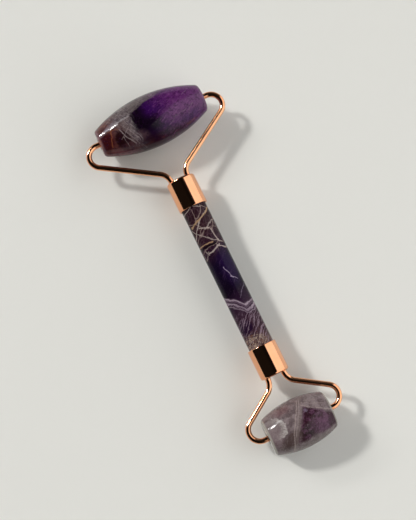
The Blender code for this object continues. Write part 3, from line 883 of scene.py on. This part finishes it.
cap_tone = deep.mix(rightwards, tone(104, 94, 94), tone(84, 50, 86))
cap_share = cap * 0.85 * deep.smooth(x_along, -17.0, -9.0)
deep.colour = deep.mix(cap_share, deep.colour, cap_tone)
fibres = deep.fibres(drift, -62, (3.2, 0.30, 2.0))
cross = deep.fibres(drift, 24, (3.6, 0.34, 2.0))
grey_zone = deep.smooth(x_along, -4.6, -6.4)
slanted = deep.vector("DOT_PRODUCT", drift, (1.0, 0.55, 0), output=1)
quartz = grey_zone * deep.smooth(slanted, -13.5, -9.0)
deep.lay(quartz * deep.smooth(fibres, 0.48, 0.64) * 0.7, 152, 142, 144)
deep.lay(quartz * deep.smooth(cross, 0.50, 0.38) * 0.6, 58, 44, 50)
bright_side = deep.smooth(x_along, 0.0, 4.5)
deep.lay(bright_side * deep.smooth(cross, 0.52, 0.70) * 0.55, 120, 70, 122)
deep.lay(bright_side * deep.smooth(fibres, 0.54, 0.74) * 0.3, 122, 78, 126)
deep.lay(bright_side * deep.smooth(cross, 0.46, 0.34) * 0.5, 38, 8, 52)
mottle = deep.noise(drift, 0.75, 5.0, 0.62)
pale_cloud = deep.smooth(cloud, 0.52, 0.68) * deep.smooth(x_along, 1.0, 6.0)
deep.lay(pale_cloud * 0.32, 120, 72, 122)
pale_mottle = deep.smooth(mottle, 0.54, 0.68) * deep.smooth(x_along, 0.0, 5.0)
deep.lay(pale_mottle * 0.26, 120, 60, 118)
deep.lay(deep.smooth(mottle, 0.48, 0.34) * 0.55, 30, 7, 38)
deep.lay(deep.smooth(cloud, 0.47, 0.28) * 0.5, 26, 8, 34)
deep.lay(cap * deep.smooth(fibres, 0.5, 0.36) * 0.6, 56, 42, 50)
deep.lay(cap * deep.smooth(cross, 0.54, 0.70) * 0.5, 140, 128, 130)
rust_line = [(-12.8, 0.9), (-13.6, -1.8), (-15.4, -4.8)]
rust = deep.vein(crooked, rust_line, 0.3, ragged=ragged, lean=16)
branches = [
    # points from one end to the other, share of full strength
    ([(-19.8, 1.2), (-16.4, 1.6), (-12.8, 0.6)], 0.7),
    ([(-18.0, 5.0), (-15.4, 4.2), (-14.4, 1.4)], 0.5),
]
rust = deep.with_veins(rust, crooked, branches, 0.2, ragged=ragged)
deep.lay(rust * 0.6, 146, 84, 50)
main_vein = [(-10.4, 0.8), (-9.6, -1.8), (-7.6, -5.8)]
pale = deep.vein(crooked, main_vein, 0.22, ragged=ragged, lean=12)
branches = [
    ([(-7.4, -0.4), (-5.6, -5.6)], 0.8),
    ([(-13.4, -2.0), (-11.0, -0.2), (-10.2, 0.6)], 0.6),
    ([(-9.9, -2.6), (-10.0, -6.6)], 0.7),
    ([(-8.6, -1.0), (-6.4, -6.4)], 0.6),
    ([(11.2, -4.6), (11.9, -2.4), (14.4, -0.8)], 0.25),
    ([(12.4, 3.4), (14.6, 4.4)], 0.3),
    ([(3.4, -4.8), (6.4, -2.0), (12.0, -1.6)], 0.2),
]
pale = deep.with_veins(pale, crooked, branches, 0.17, ragged=ragged, lean=12)
deep.lay(pale * 0.7, 160, 144, 144)
deep.lay(deep.smooth(fine, 0.48, 0.30) * 0.6, 22, 9, 22)
off_dark_band = deep.smooth(abs(x_along + 3.4), 1.5, 4.0)
deep.lay(deep.smooth(fine, 0.54, 0.74) * (0.05 + off_dark_band * 0.14), 146, 104, 138)
ends = deep.smooth(abs(deep.axis(at, "X")), 18.6, 19.9)
deep.lay(ends * 0.3, 150, 128, 146)
polish = deep.noise(at, 0.4, 3.0)
large_material = deep.done(
    deep.colour, 0.04 + polish * 0.06 + pale * 0.05, fine + pale * 0.4, strength=0.05
)
dress(large_stone, large_material, "large_roller", "deep_amethyst", "large_roller_stone")
bushes("large", polymer_material)


# ---- the small roller ---------------------------------------------------------------------------
# A shorter barrel of pale amethyst with milky quartz veins, made and bored in the same way. The
# cut leaves its ends wider, and clear quartz shows at both rims.

SMALL_END_RADIUS = 0.0064
SMALL_END_FILLET = 0.0012
small_stone, small_centre = barrel(
    "small_barrel", "small_roller_stone", SMALL_END_RADIUS, SMALL_END_FILLET
)
milky = Finish("pale_amethyst", {"IOR": 1.54, "Specular IOR Level": 0.2})
at = milky.around(small_centre)
slow = milky.wandering(at, 0.2, 1.2)
drift = milky.wandering(slow, 1.0, 0.8)
crooked = milky.wandering(slow, 1.4, 0.5, 4.0)
cloud = milky.noise(slow, 0.5, 6.0, 0.62)
fine = milky.noise(at, 1.9, 6.0, 0.68)
ragged = (milky.noise(at, 2.6, 3.0) - 0.5) * 0.24
milky.colour = milky.mix(milky.smooth(cloud, 0.36, 0.66), tone(98, 84, 86), tone(132, 118, 120))
from_main = milky.vector("DOT_PRODUCT", slow, (0.860, -0.510, 0.06), output=1)
from_second = milky.vector("DOT_PRODUCT", slow, (0.60, 0.80, 0.05), output=1)
from_foot = milky.vector("DOT_PRODUCT", drift, (0, 1, 0.18), output=1)
wedge = milky.smooth(from_main, -0.4, 1.3) * milky.smooth(from_second, 6.7, 5.3)
wedge = wedge * milky.smooth(from_foot, -5.6, -3.6)
violet = milky.smooth(milky.noise(drift, 0.45, 4.0), 0.40, 0.62)
wedge_tone = milky.mix(violet, tone(50, 20, 34), tone(74, 38, 62))
milky.colour = milky.mix(wedge * 0.95, milky.colour, wedge_tone)
patches = [
    # middle, size, turn, softness, strength, tone
    ((-9.4, -0.6, 5), (2.8, 2.8, 8), 0, 0.50, 0.55, (122, 100, 106)),
    ((-5.0, -3.6, 6), (4.4, 2.2, 8), 22, 0.40, 0.85, (78, 62, 60)),
    ((0.9, -3.0, 6), (2.2, 2.4, 8), -40, 0.50, 0.85, (34, 12, 20)),
    ((4.6, 1.6, 6), (3.4, 1.6, 8), -34, 0.50, 0.75, (44, 20, 32)),
    ((6.0, -3.0, 6), (3.2, 2.0, 8), -10, 0.70, 0.50, (98, 60, 90)),
    ((-4.4, 6.3, 4), (3.0, 1.2, 6), 0, 0.70, 0.50, (112, 72, 76)),
    # painted shade: a darker band along the stone's side away from the handle
    ((0.0, -8.2, 3), (12.0, 1.6, 8), 0, 0.60, 0.50, (96, 86, 84)),
    ((3.0, 3.5, 7), (0.6, 0.5, 3), 0, 0.60, 0.55, (150, 135, 160)),
]
milky.lay_patches(drift, patches)
scallops = milky.node("ShaderNodeTexVoronoi", {}, {"Vector": drift, "Scale": 0.75}, "Distance")
cloud_place = milky.framed(slow, (0, 0, math.radians(-28)), (4.3, 4.2, 9), (-8.6, 1.6, 4))
from_cloud = milky.vector("LENGTH", cloud_place, output=1) + (scallops - 0.4) * 0.22
in_cloud = milky.smooth(from_cloud, 1.02, 0.90)
cloud_rim = in_cloud * milky.smooth(from_cloud, 0.45, 0.98)
cloud_rim = cloud_rim * milky.smooth(milky.axis(slow, "X"), -10.5, -6.0)
milky.lay(in_cloud * 0.35, 146, 134, 134)
milky.lay(cloud_rim * (0.45 + milky.smooth(fine, 0.42, 0.62) * 0.5), 192, 186, 182)
main_vein = [(2.6, 6.9), (0.3, 2.6), (-1.5, -0.5), (-3.6, -4.2), (-5.0, -7.4)]
veins = milky.vein(crooked, main_vein, 0.22, ragged=ragged, lean=8)
between_veins = milky.smooth(from_main, -1.6, -1.2) * milky.smooth(from_main, 0.2, -0.3)
milky.lay(between_veins * 0.45, 126, 112, 110)
branches = [
    ([(3.4, 6.8), (1.1, 2.4), (-0.7, -0.7), (-2.6, -4.0)], 0.7),
    ([(3.2, 6.4), (6.0, 4.4), (9.0, 2.4), (11.6, 0.6)], 0.8),
    ([(3.8, 6.9), (7.0, 5.2), (10.8, 3.4)], 0.5),
    ([(4.6, 7.2), (8.0, 6.0)], 0.4),
    ([(-4.4, 4.4), (-1.0, 4.8), (1.0, 4.0)], 0.3),
]
veins = milky.with_veins(veins, crooked, branches, 0.22, ragged=ragged, lean=8)
milky.lay(veins * 0.62, 166, 150, 146)
wisps = milky.fibres(drift, 58, (3.0, 0.30, 2.2))
milky.lay(milky.smooth(wisps, 0.54, 0.74) * (1 - wedge * 0.7) * 0.35, 156, 144, 144)
milky.lay(wedge * milky.smooth(violet + fine, 0.9, 1.3) * 0.4, 112, 74, 102)
milky.lay(wedge * milky.smooth(wisps, 0.50, 0.36) * 0.5, 40, 14, 26)
milky.lay(milky.smooth(wisps, 0.46, 0.30) * 0.30, 62, 46, 52)
milky.lay(milky.smooth(fine, 0.48, 0.30) * 0.45, 50, 34, 42)
milky.lay(milky.smooth(fine, 0.54, 0.74) * 0.25, 170, 156, 158)
ends = milky.smooth(abs(milky.axis(at, "X")), 10.9, 11.5)
from_axle = milky.vector("LENGTH", milky.vector("MULTIPLY", drift, (0, 1, 1)), output=1)
rims = ends * (0.25 + milky.smooth(from_axle, 4.0, 6.0) * 0.45)
milky.lay(rims, 172, 170, 160)
polish = milky.noise(at, 0.4, 3.0)
small_material = milky.done(
    milky.colour, 0.04 + polish * 0.06 + veins * 0.05, fine + veins * 0.4, strength=0.05
)
dress(small_stone, small_material, "small_roller", "pale_amethyst", "small_roller_stone")
bushes("small", polymer_material)


# ---- the surface, the light and the camera ------------------------------------------------------
# The tool lies on a plain pale sheet, on its two stones. The key lamp only lights surfaces, and two
# lamps only show in gloss. A slanted strip near the key and a wide panel at the right do both. The
# room is dark, which gives the plating its depth, but matt light also gets a faint even fill.

FLOOR_HALF = 4.0
FLOOR_GAP = 0.00002
PAPER_TONE = (0.80, 0.80, 0.765, 1)
PAPER_DRIFT_TONE = (0.82, 0.82, 0.785, 1)
PAPER_ROUGHNESS = 0.55
small_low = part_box("small_roller_stone")[0]
lift = small_low.z / (large_centre[1] - small_centre[1])  # the smaller stone's lift, per metre
corner = np.array([[-1, -1], [1, -1], [1, 1], [-1, 1]]) * FLOOR_HALF
level = lift * (large_centre[1] - corner[:, 1]) - FLOOR_GAP
floor_mesh = bpy.data.meshes.new("floor")
floor_mesh.from_pydata(np.column_stack([corner, level]), [], [(0, 1, 2, 3)])
floor = bpy.data.objects.new("floor", floor_mesh)
bpy.context.scene.collection.objects.link(floor)
paper = Finish("pale_paper", {})
tooth = paper.noise(paper.around((0, 0, 0)), 0.004, 3.0)
floor_mesh.materials.append(
    paper.done(paper.mix(tooth, PAPER_TONE, PAPER_DRIFT_TONE), PAPER_ROUGHNESS)
)

LAMP_COLOUR = (1.0, 0.99, 0.96)
lamps = [
    # name, direction, energy, width in degrees, lights surfaces, shows in gloss
    ("key", Vector((-0.455, 0.608, 0.651)), 1.5, 6.5, True, False),
    ("key_glint", Vector((-0.443, 0.666, 0.597)), 1.15, 7.5, False, True),
    ("low_glint", Vector((-0.599, 0.669, 0.436)), 2.0, 6.0, False, True),
]
for name, direction, energy, width, lights_surfaces, shows_in_gloss in lamps:
    lamp = bpy.data.lights.new(name, "SUN")
    lamp.energy, lamp.angle, lamp.color = energy, math.radians(width), LAMP_COLOUR
    lamp_object = bpy.data.objects.new(name, lamp)
    lamp_object.rotation_euler = direction.to_track_quat("Z", "Y").to_euler()
    lamp_object.visible_diffuse, lamp_object.visible_glossy = lights_surfaces, shows_in_gloss
    bpy.context.scene.collection.objects.link(lamp_object)

room = bpy.data.worlds.new("studio")
room.use_nodes = True
studio = Nodes(room.node_tree)
towards = studio.node("ShaderNodeTexCoord", {}, {}, "Generated")


def side_of(normal, softness):
    """1 where a direction lies on the normal's side of a plane through the tool, else 0."""
    height = studio.vector("DOT_PRODUCT", towards, tuple(normal), output=1)
    return studio.smooth(height, -softness, softness)


def compass(degrees, lean=0.0):
    """A level direction, anticlockwise from +X, that leans down by some degrees."""
    turn, lean = math.radians(degrees), math.radians(lean)
    level = Vector((math.cos(turn), math.sin(turn), 0.0)) * math.cos(lean)
    return level - Vector((0.0, 0.0, math.sin(lean)))


STRIP_MIDDLE = Vector((-0.424, 0.750, 0.509)).normalized()
STRIP_RUN = Vector((0.902, 0.310, 0.300))  # the way that the strip slants
STRIP_HALF_LENGTH = 0.31
STRIP_HALF_WIDTH = 0.078
STRIP_STRENGTH = 10.0
PANEL_STRENGTH = 1.15
DIM_SIDE_STRENGTH = 0.08
LEFT_SIDE_STRENGTH = 0.006
ROOM_STRENGTH = 0.003
MATT_FILL_STRENGTH = 0.16
BACKDROP_STRENGTH = 0.62
BACKDROP_COLOUR = (1.0, 0.995, 0.98, 1)

panel = side_of(compass(-30, 17), 0.012) * side_of(compass(-60), 0.03) * side_of(compass(8), 0.12)
dim_side = side_of(compass(30), 0.3) * side_of(compass(0, 20), 0.2)
left_side = side_of(compass(180), 0.3)

# The strip is an ellipse of directions: (across / half length)^2 + (upwards / half width)^2 < 1.
strip_across = STRIP_RUN.cross(STRIP_MIDDLE).cross(-STRIP_MIDDLE).normalized()
strip_up = strip_across.cross(STRIP_MIDDLE)
across = studio.vector("DOT_PRODUCT", towards, tuple(strip_across / STRIP_HALF_LENGTH), output=1)
upwards = studio.vector("DOT_PRODUCT", towards, tuple(strip_up / STRIP_HALF_WIDTH), output=1)
from_middle = across * across + upwards * upwards
strip = studio.smooth(from_middle, 1.0, 0.35) * side_of(STRIP_MIDDLE, 0.1)

shine = panel * PANEL_STRENGTH + dim_side * DIM_SIDE_STRENGTH + strip * STRIP_STRENGTH
shine = shine + left_side * LEFT_SIDE_STRENGTH + ROOM_STRENGTH
looked_at = studio.node("ShaderNodeLightPath", {}, {}, "Is Camera Ray")
shine = shine + looked_at["Is Diffuse Ray"] * MATT_FILL_STRENGTH
backdrop = room.node_tree.nodes["Background"]
backdrop.inputs["Color"].default_value = BACKDROP_COLOUR
studio.plug(backdrop.inputs["Strength"], shine * (1 - looked_at) + looked_at * BACKDROP_STRENGTH)
bpy.context.scene.world = room
bpy.context.scene.view_settings.view_transform = "Standard"

CAMERA_PLACE = (-0.04155, -0.03845, 0.42143)
CAMERA_TURN = (7.71, -2.112, -25.873)  # degrees about X, Y and Z
CAMERA_LENS = 83.1  # millimetres
CAMERA_SENSOR = 36.0
camera_data = bpy.data.cameras.new("camera")
camera_data.lens = CAMERA_LENS
camera_data.sensor_width = CAMERA_SENSOR
camera_data.clip_start = 0.01
camera = bpy.data.objects.new("camera", camera_data)
camera.location = CAMERA_PLACE
camera.rotation_euler = [math.radians(angle) for angle in CAMERA_TURN]
bpy.context.scene.collection.objects.link(camera)
bpy.context.scene.camera = camera
